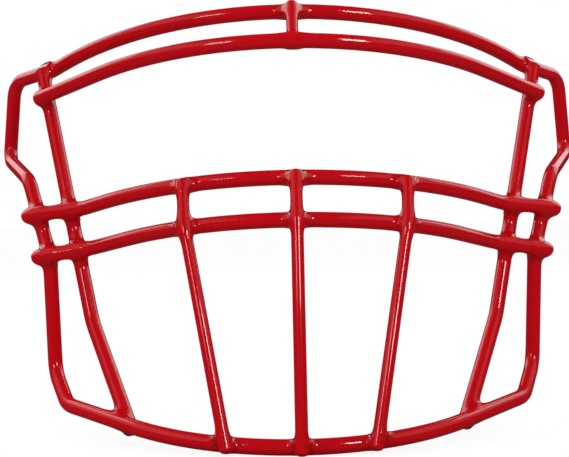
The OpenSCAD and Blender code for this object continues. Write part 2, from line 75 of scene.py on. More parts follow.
# The part's driving dimensions, with their values in its source. A place is its half width, how far it
# lies behind the middle of the chin bar and how far above it.
THICK_MM = 6.1
THIN_MM = 4.9
PRESSED_MM = 0.5
END_ROUND_MM = 1.4
BEND_SWELL_MM = 0.015
BROW_MM = (55, 170.9)
BROW_RADIUS_MM = 138
BROW_END_MM = (104.6, 99, 152.8)
BROW_BEND_MM = 30
REAR_TOP_MM = (127.8, 126, 149.7)
REAR_LOW_MM = (130.1, 124, 113.2)
REAR_BEND_MM = 8
EAR_MM = (114.7, 86, 102.8)
EAR_BEND_MM = 12
CHEEK_MM = (103.8, 71, 69.7)
CHEEK_BEND_MM = 36
JAW_MM = (101.5, 68, 21.1)
JAW_BEND_MM = 12
CHIN_END_MM = (94.5, 53, 9.6)
CHIN_BEND_MM = 12
CHIN_RADIUS_MM = 95
UPRIGHT_TOP_HALF_MM = 106.1
UPRIGHT_MIDDLE_MM = (84.7, 60, 42.9)
UPRIGHT_BEND_MM = 30
UPRIGHT_LOW_HALF_MM = 71.5
UPRIGHT_TOP_OVER_MM = 0.3
UPRIGHT_LOW_OVER_MM = 5.2
UPRIGHT_TRIM_SLOPE = radians(26)
LOW_BROW_MM = (33, 156)
LOW_BROW_RADIUS_MM = 122
LOW_BROW_CROSSING_MM = 138
LOW_BROW_OVER_MM = 0.8
UPPER_BAR_MM = (28.5, 101.4)
UPPER_BAR_RADIUS_MM = 115
UPPER_BAR_CROSSING_MM = 88
UPPER_BAR_SIDE_MM = 86.1
LOWER_BAR_MM = (20.5, 84.7)
LOWER_BAR_RADIUS_MM = 98
LOWER_BAR_CROSSING_MM = 71
FLARE_MM = 7.5
FLARE_BEND_MM = 12
WRAP_ANGLE = radians(35)
WRAP_TAIL_MM = 0.4
DIAGONAL_HALVES_MM = (43, 41.9, 27.3)
THIN_BEND_MM = 20
THIN_TOP_OVER_MM = 0.6
THIN_LOW_OVER_MM = 3.4
STRUT_TOP_OVER_MM = 0.5
STRUT_LOW_OVER_MM = 0.6
# How far above the underside of the lower brow bar, which hides it, the strut's slanting end is trimmed
STRUT_TRIM_MM = 1.085
# Distance between the middles of two thick rods that are welded, and of a thick and a thin one
THICK_PITCH_MM = THICK_MM - PRESSED_MM
THIN_PITCH_MM = (THICK_MM + THIN_MM) / 2 - PRESSED_MM

# The passes in which each rod finds its contacts, the ways it starts from, and how round a bow may get
UPRIGHT_PASSES = 2
BAR_PASSES = 6
THIN_PASSES = 5
LOW_BROW_GUESS = (0.7, 0.68, -0.2)
CROSS_BAR_GUESS = (1, 0, 0)
THIN_GUESSES = ((0, 0.5, 1), (0, 0.35, 1), (0, 0.2, 1))
STRUT_GUESS = (0, 0.6, 0.8)
ROUNDEST_BOW = 0.998
# Weld places are rounded to a tenth of a millimetre.
WELD_DIGITS = 1

# How finely a middle line is followed, and how much of the rods a crossing looks at
LINE_STEP_MM = 0.8
BEND_POINTS = 40
WAY_POINTS = 3
NEAR_MM = 25
CROSSING_MM = 12
# The distance to a rod that isn't near, and what a point may lie past a run's end and still be beside it
FAR = 1.0
PAST_END = 1e-7
# The corners of a crossing are filled as they look from this place, half a metre in front.
EYE_MM = (0, -540, 93)
# A corner is filled only if both rods run on past it by a margin. Its depth is sought on the line of sight.
CORNER_MARGIN_MM = 0.5
SEARCH_MM = 9
SEARCH_POINTS = 181
MOST_REACH_MM = 8.5
CORNER_BLEND_MM = 6
# The coat stands proud by at most this share of its reach.
PROUD_SHARE = 1 / 4
# How collars settle: the step of a slope, the longest move, and the least steepness that a move allows for
SLOPE_STEP = 2e-6
LONGEST_MOVE = 0.0004
LEAST_STEEPNESS = 0.3
FIRST_ROUNDS = 10
LATER_ROUNDS = 3
SMOOTHINGS = 3
# A collar is cut from a bar that overruns its reach and is thicker than the rod by a share of it.
OVERRUN_MM = 7.5
THICKER_SHARE = 1 / 6
BAR_SEGMENTS = 24

# The coat: how much painted shade in the collars' creases and patchy places deepen its red, how its patches
# spread, how satin it is below its clear skin, and the skin's index of refraction
CREASE_SHADE_DEEPENS = 0.55
PATCH_DEEPENS = 0.30
PATCH_RANGE = (0.3, 0.7)
PATCHES_PER_METRE = 9.0
SATIN_RANGE = (0.32, 0.46)
SKIN_IOR = 1.5

# The camera: its turns, where it aims, how far it stands back, and the shift of its picture
CAMERA_YAW = radians(1.7682)
CAMERA_ROLL = radians(-0.8269)
CAMERA_AIM_MM = (0, -60.469, 93.065)
CAMERA_BACK_MM = 480
CAMERA_SENSOR_MM = 36
CAMERA_SHIFT = (-0.0239, -0.0394)
# Each softbox: its place round the guard from the front towards the photograph's right and its height, its
# width and length as they look from the guard, all in degrees, and which setting holds its brightness
SOFTBOXES = (
    ("left_softbox", -32, 26, 10, 13, "left_radiance"),
    ("right_softbox", 29, 26, 10, 13, "right_radiance"),
    ("left_rear_softbox", -129, 31, 42, 34, "rear_radiance"),
    ("right_rear_softbox", 129, 31, 42, 34, "rear_radiance"),
)
SOFTBOX_AIM = (0, -0.02, 0.09)
SOFTBOX_AWAY = 1.3
# The mirrored walls fade in as a ray points more sideways and more upwards.
WALL_ASIDE = (0.28, 0.62)
WALL_ABOVE = (0.22, 0.52)
# The floor: how much of it glows for the camera, how dark the gloss sees it, how dark its faint clouds are,
# how wide it is and how far below the guard it lies
FLOOR_GLOW = 0.88
FLOOR_MIRRORED = 0.05
FLOOR_CLOUD = 0.98
FLOOR_RADIUS = 6.0
FLOOR_BELOW = 0.0001


# Sizes and colours


class CoatSettings(bpy.types.PropertyGroup):
    colour: FloatVectorProperty(
        name="Coat colour", description="Colour of the dip coat", subtype="COLOR", size=3, min=0, max=1,
        default=(0.50, 0.0025, 0.0070),
    )
    # Painted shade: a darker red laid into the creases between crossing rods, deepest where a collar is
    # fullest
    crease_shade_colour: FloatVectorProperty(
        name="Deep colour", description="Colour where the coat has pooled thick", subtype="COLOR", size=3,
        min=0, max=1, default=(0.36, 0.0012, 0.0040),
    )
    roughness: FloatProperty(
        name="Gloss roughness", description="Roughness of the coat's clear skin", default=0.07, min=0, max=1,
        subtype="FACTOR",
    )
    run_size: FloatProperty(
        name="Run size", description="Distance between the soft thick and thin places that dipping leaves",
        default=0.016, min=0.002, max=0.1, unit="LENGTH",
    )
    run_height: FloatProperty(
        name="Run height", description="Height of the soft thick places", default=0.000025, min=0, max=0.001,
        precision=6, unit="LENGTH",
    )
    peel_size: FloatProperty(
        name="Peel size", description="Distance between the fine dimples of the cured skin", default=0.0016,
        min=0.0002, max=0.01, precision=5, unit="LENGTH",
    )
    peel_height: FloatProperty(
        name="Peel height", description="Depth of the fine dimples", default=0.0000008, min=0, max=0.0001,
        precision=7, unit="LENGTH",
    )


class WeldSettings(bpy.types.PropertyGroup):
    thick_reach: FloatProperty(
        name="Thick collar", default=0.0045, min=0.001, max=0.008, precision=5, unit="LENGTH",
        description="How far the melted coat reaches at least where two thick rods cross",
    )
    thin_reach: FloatProperty(
        name="Thin collar", description="How far the melted coat reaches at least where a thin rod crosses",
        default=0.0040, min=0.001, max=0.008, precision=5, unit="LENGTH",
    )
    web: FloatProperty(
        name="Corner web", description="How far the coat fills a corner past the edges of both rods",
        default=0.00042, min=0, max=0.002, precision=6, unit="LENGTH",
    )
    grain: FloatProperty(
        name="Mesh size", description="Size of a collar's faces", default=0.00035, min=0.0001, max=0.001,
        precision=6, unit="LENGTH",
    )
    rim: FloatProperty(
        name="Rim height", description="How proud of the rods a collar ends", default=0.000004, min=0.000001,
        max=0.0001, precision=7, unit="LENGTH",
    )
    depth: FloatProperty(
        name="Root depth", description="How deep a collar reaches into its rods", default=0.00035, min=0.0001,
        max=0.001, precision=6, unit="LENGTH",
    )


class StudioSettings(bpy.types.PropertyGroup):
    floor_colour: FloatVectorProperty(
        name="Floor colour", description="Colour of the floor", subtype="COLOR", size=3, min=0, max=1,
        default=(0.5, 0.5, 0.5),
    )
    fill: FloatProperty(name="Fill", description="Strength of the light all round", default=0.8, min=0, max=4)
    lean: FloatProperty(
        name="Fill from the left", default=0.45, min=0, max=1, subtype="FACTOR",
        description="How much stronger the light all round is on the left than on average",
    )
    gloss_fill: FloatProperty(
        name="Dark surroundings", description="What the gloss mirrors before, below and behind the guard",
        default=0.02, min=0, max=1, subtype="FACTOR",
    )
    gloss_wall: FloatProperty(
        name="Pale walls", description="What the gloss mirrors high on both sides", default=0.5, min=0, max=1,
        subtype="FACTOR",
    )
    left_radiance: FloatProperty(
        name="Left softbox", description="Brightness of the softbox on the left", default=7, min=0, max=200,
    )
    right_radiance: FloatProperty(
        name="Right softbox", description="Brightness of the softbox on the right", default=22, min=0,
        max=200,
    )
    rear_radiance: FloatProperty(
        name="Rear softboxes", description="Brightness of the two softboxes behind the guard", default=1.6,
        min=0, max=200,
    )
    lens: FloatProperty(
        name="Lens", description="Focal length of the camera", default=0.0814, min=0.01, max=0.5,
        unit="CAMERA",
    )


# The rods' middle lines


def unit(v):
    return v / np.linalg.norm(v)


def flipped(points):
    """The same points on the other side of the guard."""
    return [point * (-1, 1, 1) for point in points]


def to_front(first, second):
    """The way to the front that is square to two rods."""
    square = unit(np.cross(first, second))
    return square if square[1] < 0 else -square


def at_height(start, finish, up):
    """The point of a straight run at a height."""
    return start + (finish - start) * (up - start[2]) / (finish[2] - start[2])


class Bow:
    """The arc of a bar across the front. It leans back, and its ends run straight on to an end point."""

    def __init__(self, back, up, radius, end):
        run = hypot(end[1] - back, end[2] - up)
        self.radius = min(radius, ROUNDEST_BOW * (end[0] ** 2 + run**2) / (2 * run))
        self.half = asin(self.radius / hypot(end[0], self.radius - run)) - atan2(self.radius - run, end[0])
        self.lean = np.array((0, end[1] - back, end[2] - up)) / run
        self.middle = np.array((0, back, up))
        self.nose = self.middle - self.lean * self.radius * (1 / cos(self.half) - 1)

    def point(self, across):
        """The middle line's point at a distance from the mirror plane."""
        if abs(across) < self.radius * sin(self.half):
            depth = self.radius - sqrt(self.radius**2 - across**2)
        else:
            depth = abs(across) * tan(self.half) - self.radius * (1 / cos(self.half) - 1)
        return self.middle + self.lean * depth + (across, 0, 0)

    def way(self, across):
        """The way along the middle line there."""
        turned = min(asin(min(1, across / self.radius)), self.half)
        return self.lean * sin(turned) + (cos(turned), 0, 0)


class Corner:
    """A corner of a middle line, the ways into and out of it, and the bend that rounds it."""

    def __init__(self, before, point, after, radius):
        self.point = point
        self.radius = radius
        self.way_in = unit(point - before)
        self.way_out = unit(after - point)
        turn = self.way_in @ self.way_out
        self.angle = acos(min(1.0, turn))
        self.inward = unit(self.way_out - self.way_in * turn)
        self.start = point - self.way_in * radius * tan(self.angle / 2)
        self.finish = point + self.way_out * radius * tan(self.angle / 2)
        self.centre = self.start + self.inward * radius

    def middle(self):
        """The middle of the bend, and the way along it there."""
        lift = self.radius * (1 / cos(self.angle / 2) - 1)
        return self.point + unit(self.way_out - self.way_in) * lift, unit(self.way_in + self.way_out)

    def after(self, bow, half):
        """The point and the way at a half width, where a bow comes in, turns here and runs straight on."""
        if half <= self.start[0]:
            return bow.point(half), bow.way(half)
        if half >= self.finish[0]:
            return self.point + self.way_out * (half - self.point[0]) / self.way_out[0], self.way_out
        reach = hypot(self.way_in[0], self.inward[0])
        turned = atan2(self.inward[0], self.way_in[0])
        turned += asin(((half - self.start[0]) / self.radius - self.inward[0]) / reach)
        return self.along([turned])[0], self.way_in * cos(turned) + self.inward * sin(turned)

    def along(self, angles):
        """The bend's points at angles from its start."""
        turned = np.array(angles)[:, None]
        return self.centre + self.radius * (self.way_in * np.sin(turned) - self.inward * np.cos(turned))


class Guard:
    """Where all rods and welds lie, solved by the same passes as in the part's source.

    Of two like rods it has the right one. A weld is its node, its two rods and the place where they meet. It
    stands for one on each side where its name has "side" in place of left or right.
    """

    def __init__(self):
        self.lines = {}
        self.spots = []
        self.lay_loop()
        self.lay_upright()
        self.lay_low_brow()
        side = (at_height(self.ear, self.cheek, UPPER_BAR_SIDE_MM), unit(self.cheek - self.ear))
        bar = (*UPPER_BAR_MM, UPPER_BAR_RADIUS_MM)
        self.upper = self.lay_cross_bar("upper", bar, UPPER_BAR_CROSSING_MM, *side)
        side = Corner(self.ear, self.cheek, self.jaw, CHEEK_BEND_MM).middle()
        bar = (*LOWER_BAR_MM, LOWER_BAR_RADIUS_MM)
        self.lower = self.lay_cross_bar("lower", bar, LOWER_BAR_CROSSING_MM, *side)
        self.join("weld_side_upright_chin", "perimeter_loop", "upright", *self.at_chin)
        self.lay_thin_rod("diagonal", "weld_side_diagonal_", DIAGONAL_HALVES_MM)
        down = self.lay_thin_rod("centre_vertical", "weld_centre_", (0, 0, 0))
        self.lay_strut()
        origin = self.origin(down)
        self.rods = {}
        for name, (points, bends, thickness, closed, trim) in self.lines.items():
            if trim is not None:
                trim = ((trim[0] - origin) * MM, trim[1])
            self.rods[name] = Rod([point - origin for point in points], bends, thickness, closed, trim)
        self.welds = []
        for node, first, second, at in self.spots:
            self.welds.append((node, first, second, np.round(at - origin, WELD_DIGITS) * MM))

    def lay_rod(self, name, points, bends, thickness=THICK_MM, closed=False, trim=None):
        self.lines[name] = (points, bends, thickness, closed, trim)

    def join(self, node, first, second, middle, way):
        """Notes a weld where the second rod lies against the first, on a way from the first one's middle."""
        self.spots.append((node, first, second, middle + way * THICK_PITCH_MM / 2))

    def lay_loop(self):
        places = (BROW_END_MM, REAR_TOP_MM, REAR_LOW_MM, EAR_MM, CHEEK_MM, JAW_MM, CHIN_END_MM)
        side = [np.array(place) for place in places]
        bends = [
            BROW_BEND_MM, REAR_BEND_MM, REAR_BEND_MM, EAR_BEND_MM, CHEEK_BEND_MM, JAW_BEND_MM, CHIN_BEND_MM,
        ]
        self.brow_end, self.rear_top, self.rear_low, self.ear, self.cheek, self.jaw, self.chin_end = side
        self.brow = Bow(*BROW_MM, BROW_RADIUS_MM, self.brow_end)
        self.chin = Bow(0, 0, CHIN_RADIUS_MM, self.chin_end)
        points = [self.brow.nose, *side, self.chin.nose, *flipped(side)[::-1]]
        bends = [self.brow.radius, *bends, self.chin.radius, *bends[::-1]]
        self.lay_rod("perimeter_loop", points, bends, closed=True)

    def lay_upright(self):
        """An upright lies in front of the brow and behind the chin bar."""
        brow_corner = Corner(self.brow.nose, self.brow_end, self.rear_top, BROW_BEND_MM)
        brow_at, brow_way = brow_corner.after(self.brow, UPRIGHT_TOP_HALF_MM)
        chin_corner = Corner(self.chin.nose, self.chin_end, self.jaw, CHIN_BEND_MM)
        chin_at, chin_way = chin_corner.after(self.chin, UPRIGHT_LOW_HALF_MM)
        middle = np.array(UPRIGHT_MIDDLE_MM)
        self.top, low = brow_at, chin_at
        for _ in range(UPRIGHT_PASSES):
            top_front = to_front(brow_way, self.top - middle)
            low_front = to_front(chin_way, middle - low)
            self.top = brow_at + top_front * THICK_PITCH_MM
            low = chin_at - low_front * THICK_PITCH_MM
        self.upright_middle = middle
        self.upper_part = unit(self.top - middle)
        top_end = self.top + self.upper_part * (UPRIGHT_TOP_OVER_MM + THICK_MM)
        low_end = low - unit(middle - low) * UPRIGHT_LOW_OVER_MM
        slope = (cos(UPRIGHT_TRIM_SLOPE), 0, -sin(UPRIGHT_TRIM_SLOPE))
        trim = (self.top + self.upper_part * UPRIGHT_TOP_OVER_MM, unit(np.cross(slope, brow_way)))
        self.lay_rod("upright", [top_end, middle, low_end], [0, UPRIGHT_BEND_MM, 0], trim=trim)
        self.join("weld_side_upright_brow", "perimeter_loop", "upright", brow_at, top_front)
        # Its weld at the chin bar comes last, after the bars that lie on it.
        self.at_chin = (chin_at, -low_front)

    def upright_at(self, up):
        return at_height(self.top, self.upright_middle, up)

    def lay_low_brow(self):
        """The lower brow bar lies in front of the uprights."""
        at = self.upright_at(LOW_BROW_CROSSING_MM)
        way = LOW_BROW_GUESS
        for _ in range(BAR_PASSES):
            touch = at + to_front(way, self.upper_part) * THICK_PITCH_MM
            self.low_brow = Bow(*LOW_BROW_MM, LOW_BROW_RADIUS_MM, touch)
            way = self.low_brow.way(touch[0])
        end = touch + way * LOW_BROW_OVER_MM
        points = [*flipped([end]), self.low_brow.nose, end]
        self.lay_rod("lower_brow_bar", points, [0, self.low_brow.radius, 0])
        self.join("weld_side_upright_low_brow", "upright", "lower_brow_bar", at, unit(touch - at))

    def lay_cross_bar(self, name, middle, crossing, side_at, side_way):
        """A cross bar lies on the uprights and the loop's sides, and wraps round the sides. Gives its bow."""
        upright_at = self.upright_at(crossing)
        way = CROSS_BAR_GUESS
        for _ in range(BAR_PASSES):
            on_upright = upright_at + to_front(way, self.upper_part) * THICK_PITCH_MM
            on_side = side_at + to_front(way, side_way) * THICK_PITCH_MM
            way = unit(on_side - on_upright)
        taken = THICK_PITCH_MM * tan(WRAP_ANGLE / 2)
        turn = on_side + way * taken
        away = way * cos(WRAP_ANGLE) - to_front(way, side_way) * sin(WRAP_ANGLE)
        flare = on_upright - way * FLARE_MM
        side = [flare, turn, turn + away * (taken + END_ROUND_MM + WRAP_TAIL_MM)]
        bow = Bow(*middle, flare)
        bends = [FLARE_BEND_MM, THICK_PITCH_MM, 0]
        bar = name + "_cross_bar"
        self.lay_rod(bar, [*flipped(side)[::-1], bow.nose, *side], [*bends[::-1], bow.radius, *bends])
        self.join("weld_side_upright_" + name, "upright", bar, upright_at, unit(on_upright - upright_at))
        self.join("weld_side_side_" + name, "perimeter_loop", bar, side_at, unit(on_side - side_at))
        return bow

    def lay_thin_rod(self, name, weld, halves):
        """A thin rod lies on both cross bars and the chin bar. Gives the way up along its lower run."""
        bows = (self.upper, self.lower, self.chin)
        ways = THIN_GUESSES
        for _ in range(THIN_PASSES):
            fronts = [to_front(bow.way(half), way) for bow, half, way in zip(bows, halves, ways)]
            middles = [bow.point(half) for bow, half in zip(bows, halves)]
            rests = [middle + front * THIN_PITCH_MM for middle, front in zip(middles, fronts)]
            above, below = unit(rests[0] - rests[1]), unit(rests[1] - rests[2])
            ways = (above, unit(above + below), below)
        lift = THIN_BEND_MM * (1 / cos(acos(min(1, above @ below)) / 2) - 1)
        top, low = rests[0] + above * THIN_TOP_OVER_MM, rests[2] - below * THIN_LOW_OVER_MM
        self.lay_rod(name, [top, rests[1] + fronts[1] * lift, low], [0, THIN_BEND_MM, 0], THIN_MM)
        bars = (("upper", "upper_cross_bar"), ("lower", "lower_cross_bar"), ("chin", "perimeter_loop"))
        for (word, bar), middle, front in zip(bars, middles, fronts):
            self.join(weld + word, bar, name, middle, front)
        return below

    def lay_strut(self):
        """The strut lies in front of the brow and behind the lower brow bar."""
        way = STRUT_GUESS
        for _ in range(BAR_PASSES):
            front = to_front((1, 0, 0), way)
            top = self.brow.point(0) + front * THIN_PITCH_MM
            low = self.low_brow.point(0) - front * THIN_PITCH_MM
            way = unit(top - low)
        trim = (self.low_brow.point(0) + (0, 0, STRUT_TRIM_MM - THICK_MM / 2), np.array((0, 0, -1)))
        points = [top + way * STRUT_TOP_OVER_MM, low - way * STRUT_LOW_OVER_MM]
        self.lay_rod("brow_strut", points, [0, 0], THIN_MM, trim=trim)
        self.join("weld_strut_brow", "perimeter_loop", "brow_strut", self.brow.point(0), front)
        self.join("weld_strut_low_brow", "lower_brow_bar", "brow_strut", self.low_brow.point(0), -front)

    def origin(self, down):
        """The frame's origin: half way from front to back, level with the underside of the chin bar."""
        front = (self.lines["centre_vertical"][0][2] + down * END_ROUND_MM)[1] - END_ROUND_MM
        front -= (THIN_MM / 2 - END_ROUND_MM) * hypot(down[0], down[2])
        corner = Corner(self.brow_end, self.rear_top, self.rear_low, REAR_BEND_MM)
        rear = corner.centre[1] + REAR_BEND_MM * hypot(corner.way_in[1], corner.inward[1])
        rear += THICK_MM / 2 + BEND_SWELL_MM
        return np.array((0, (front + rear) / 2, -THICK_MM / 2 - BEND_SWELL_MM))


class Rod:
    """A rod's middle line, split into straight runs and bends."""

    def __init__(self, corners, bends, thickness, closed, trim=None):
        points = np.array(corners, dtype=float) * MM
        count = len(points)
        self.radius = thickness * MM / 2
        self.closed = closed
        self.trim = trim
        self.bends = [
            Corner(points[i - 1], points[i], points[(i + 1) % count], radius * MM) if radius else None
            for i, radius in enumerate(bends)
        ]
        self.runs = []
        for i in range(count if closed else count - 1):
            j = (i + 1) % count
            start = self.bends[i].finish if self.bends[i] else points[i]
            finish = self.bends[j].start if self.bends[j] else points[j]
            self.runs.append((start, finish, not closed and i == 0, not closed and j == count - 1))

    def gap(self, points):
        """The distance from each point to the rod's surface, negative inside the rod."""
        best = np.full(len(points), FAR)
        rounded = END_ROUND_MM * MM
        for start, finish, free_start, free_finish in self.runs:
            way = unit(finish - start)
            along = (points - start) @ way
            out = np.linalg.norm(points - start - along[:, None] * way, axis=1)
            before, after = -along, along - np.linalg.norm(finish - start)
            gap = out - self.radius
            for over, free in ((before, free_start), (after, free_finish)):
                if free:
                    across, beyond = out - self.radius + rounded, over + rounded
                    end = np.hypot(np.maximum(across, 0), np.maximum(beyond, 0))
                    gap = np.maximum(gap, end + np.minimum(np.maximum(across, beyond), 0) - rounded)
                else:
                    gap = np.where(over > PAST_END, FAR, gap)
            best = np.minimum(best, gap)
        for bend in filter(None, self.bends):
            from_centre = points - bend.centre
            outward, along = from_centre @ -bend.inward, from_centre @ bend.way_in
            aside = from_centre @ np.cross(bend.way_in, bend.inward)
            turned = np.arctan2(along, outward)
            gap = np.hypot(np.hypot(outward, along) - bend.radius, aside) - self.radius - BEND_SWELL_MM * MM
            best = np.minimum(best, np.where((turned >= 0) & (turned <= bend.angle), gap, FAR))
        if self.trim is not None:
            best = np.maximum(best, (points - self.trim[0]) @ self.trim[1])
        return best

    def near(self, point):
        """The same rod with only those of its runs and bends that come near a point."""
        part = copy(self)
        part.runs, part.bends = [], []
        for run in self.runs:
            way = unit(run[1] - run[0])
            along = np.clip((point - run[0]) @ way, 0, np.linalg.norm(run[1] - run[0]))
            if np.linalg.norm(run[0] + way * along - point) < NEAR_MM * MM:
                part.runs.append(run)
        for bend in filter(None, self.bends):
            middle = bend.along(np.linspace(0, bend.angle, BEND_POINTS))
            if np.linalg.norm(middle - point, axis=1).min() < NEAR_MM * MM:
                part.bends.append(bend)
        return part

    def line(self):
        """Points along the middle line, about a step apart."""
        step = LINE_STEP_MM * MM
        points = []
        for i, (start, finish, _, free_finish) in enumerate(self.runs):
            count = max(1, round(np.linalg.norm(finish - start) / step))
            points += [start + (finish - start) * k / count for k in range(count + 1)]
            bend = None if free_finish else self.bends[(i + 1) % len(self.bends)]
            if bend:
                count = max(2, round(bend.radius * bend.angle / step))
                points += list(bend.along(bend.angle * np.arange(1, count) / count))
        return np.array(points)

    def stretch(self, near, half_length):
        """The points of the middle line within a half length of the place nearest to a point."""
        line = self.line()
        if self.trim is not None:
            line = line[(line - self.trim[0]) @ self.trim[1] < MM]
        nearest = int(np.argmin(np.linalg.norm(line - near, axis=1)))
        if self.closed:
            line = np.roll(line, len(line) // 2 - nearest, axis=0)
            nearest = len(line) // 2
        length = np.concatenate([[0], np.cumsum(np.linalg.norm(np.diff(line, axis=0), axis=1))])
        return line[np.abs(length - length[nearest]) < half_length]


# Welds


class Crossing:
    """Two crossing rods, and how far the melted coat reaches in each of the four corners between them."""

    def __init__(self, rods, near, least, web):
        self.rods = [rod.near(near) for rod in rods]
        self.near = near
        view = unit(near - np.array(EYE_MM) * MM)
        lines = [rod.stretch(near, CROSSING_MM * MM) for rod in rods]
        ways, middles = [], []
        for line in lines:
            nearest = int(np.argmin(np.linalg.norm(line - near, axis=1)))
            way = line[min(nearest + WAY_POINTS, len(line) - 1)] - line[max(nearest - WAY_POINTS, 0)]
            ways.append(unit(way - view * (way @ view)))
            middles.append(line[nearest])
        self.spread = np.linalg.inv(np.stack([*ways, view]))
        middle = middles[0] + ways[0] * ((middles[1] - middles[0]) @ self.spread)[0]
        narrow = np.sqrt(1 - (ways[0] @ ways[1]) ** 2)
        far = np.array([self.rods[1].radius + web, self.rods[0].radius + web]) / narrow
        beyond = np.linspace(-SEARCH_MM, SEARCH_MM, SEARCH_POINTS)[:, None] * MM * view
        self.reaches = np.full((2, 2), least)
        for i, j in np.ndindex(2, 2):
            sides = (2 * i - 1, 2 * j - 1)
            ends = [(((line - middle) @ self.spread)[:, k] * sides[k]).max() for k, line in enumerate(lines)]
            if min(ends[0] - far[0], ends[1] - far[1]) < CORNER_MARGIN_MM * MM:
                continue
            corner = middle + ways[0] * sides[0] * far[0] + ways[1] * sides[1] * far[1]
            gaps = [rod.gap(corner + beyond) for rod in self.rods]
            needed = np.maximum(*gaps).min() / PROUD_SHARE
            self.reaches[i, j] = np.clip(needed, least, MOST_REACH_MM * MM)

    def reach(self, points):
        """How far the coat reaches at each point: each corner's own reach, with a soft change between."""
        place = (points - self.near) @ self.spread
        share = np.clip(place[:, :2] / (CORNER_BLEND_MM * MM) + 0.5, 0, 1)
        share = share * share * (3 - 2 * share)
        first, second = share[:, 0], share[:, 1]
        low = self.reaches[0, 0] * (1 - second) + self.reaches[0, 1] * second
        high = self.reaches[1, 0] * (1 - second) + self.reaches[1, 1] * second
        return low * (1 - first) + high * first

    def melted(self, points):
        """The distance to the rods as the coat joins them, and how far the coat stands proud there."""
        first, second = self.rods[0].gap(points), self.rods[1].gap(points)
        reach = self.reach(points)
        shared = np.maximum(reach - np.abs(first - second), 0) / reach
        proud = reach * PROUD_SHARE * shared**2
        return np.minimum(first, second) - proud, proud

    def settle(self, points, rounds):
        """Moves points onto the melted coat."""
        for _ in range(rounds):
            off = self.melted(points)[0]
            way = self.slope(points)
            steep = np.maximum((way**2).sum(axis=1), LEAST_STEEPNESS)
            points = points - way * np.clip(off / steep, -LONGEST_MOVE, LONGEST_MOVE)[:, None]
        return points

    def slope(self, points):
        return slope_of(lambda moved: self.melted(moved)[0], points)


def slope_of(distance, points):
    """The way in which a distance grows, at each point."""
    ways = [distance(points + axis) - distance(points - axis) for axis in np.eye(3) * SLOPE_STEP]
    return np.stack(ways, axis=1) / (2 * SLOPE_STEP)


def facing_of(slopes):
    """The unit ways of slopes, or none where there is no slope."""
    return slopes / np.maximum(np.linalg.norm(slopes, axis=1), 1e-6)[:, None]


def sweep(bm, line, radius):
    """A closed round bar along a line."""
    line = [Vector(p) for p in line]
    ways = [(b - a).normalized() for a, b in zip(line, line[1:])]
    ways.append(ways[-1])
    turned = Vector((0, 0, 1)).rotation_difference(ways[0]).to_matrix().to_4x4()
    ring = bmesh.ops.create_circle(
        bm, cap_ends=True, segments=BAR_SEGMENTS, radius=radius, matrix=Matrix.Translation(line[0]) @ turned
    )["verts"]
    edges = list({edge for vert in ring for edge in vert.link_edges})
    for i in range(len(line) - 1):
        grown = bmesh.ops.extrude_edge_only(bm, edges=edges)["geom"]
        ring = [g for g in grown if isinstance(g, bmesh.types.BMVert)]
        edges = [g for g in grown if isinstance(g, bmesh.types.BMEdge)]
        turn = ways[i].rotation_difference(ways[i + 1]).to_matrix().to_4x4()
        move = Matrix.Translation(line[i + 1]) @ turn @ Matrix.Translation(-line[i])
        bmesh.ops.transform(bm, matrix=move, verts=ring)
    bmesh.ops.contextual_create(bm, geom=edges)


def even_mesh(bm, grain):
    """One even closed mesh from overlapping closed shapes."""
    mesh = bpy.data.meshes.new("blank")
    bm.to_mesh(mesh)
    blank = bpy.data.objects.new("blank", mesh)
    bpy.context.scene.collection.objects.link(blank)
    remesh = blank.modifiers.new("even", "REMESH")
    remesh.mode = "VOXEL"
    remesh.voxel_size = grain
    evaluated = blank.evaluated_get(bpy.context.evaluated_depsgraph_get())
    even = bpy.data.meshes.new_from_object(evaluated)
    bpy.data.objects.remove(blank)
    bpy.data.meshes.remove(mesh)
    return even


def coordinates(bm):
    return np.array([v.co[:] for v in bm.verts])


def place_verts(bm, points):
    for vert, point in zip(bm.verts, points):
        vert.co = point


def weld_collar(rods, near, least, settings):
    """The collar of melted coat round a crossing: its mesh, how its points face and its painted crease shade.
    """
    crossing = Crossing(rods, near, least, settings.web)
    most = crossing.reaches.max()
    bm = bmesh.new()
    for rod in rods:
        sweep(bm, rod.stretch(near, most + OVERRUN_MM * MM), rod.radius + most * THICKER_SHARE)
    bmesh.ops.recalc_face_normals(bm, faces=bm.faces)
    even = even_mesh(bm, settings.grain)
    bm.clear()
    bm.from_mesh(even)
    bpy.data.meshes.remove(even)
    place_verts(bm, crossing.settle(coordinates(bm), FIRST_ROUNDS))
    axes = {"use_axis_x": True, "use_axis_y": True, "use_axis_z": True}
    for _ in range(SMOOTHINGS):
        bmesh.ops.smooth_vert(bm, verts=bm.verts, factor=0.5, **axes)
        place_verts(bm, crossing.settle(coordinates(bm), LATER_ROUNDS))
    proud = crossing.melted(coordinates(bm))[1]
    bm.verts.index_update()
    low = [f for f in bm.faces if max(proud[v.index] for v in f.verts) < settings.rim]
    bmesh.ops.delete(bm, geom=low, context="FACES")
    skin = bm.faces[:] + bm.edges[:] + bm.verts[:]
    grown = bmesh.ops.extrude_face_region(bm, geom=skin, use_keep_orig=True)
    bm.verts.index_update()
    inner = np.zeros(len(bm.verts), dtype=bool)
    inner[[g.index for g in grown["geom"] if isinstance(g, bmesh.types.BMVert)]] = True
    points = coordinates(bm)
    facing = facing_of(crossing.slope(points))
    proud = crossing.melted(points)[1]
    # Painted shade: 1 deep in the crease between the rods, fading to 0 at the collar's rim
    crease_shade = proud / (crossing.reach(points) * PROUD_SHARE)
    points[inner] -= facing[inner] * (proud[inner] + settings.depth)[:, None]
    facing[inner] *= -1
    place_verts(bm, points)
    bmesh.ops.recalc_face_normals(bm, faces=bm.faces)
    if bm.calc_volume(signed=True) < 0:
        bmesh.ops.reverse_faces(bm, faces=bm.faces)
    mesh = bpy.data.meshes.new("collar")
    bm.to_mesh(mesh)
    bm.free()
    return mesh, facing, crease_shade


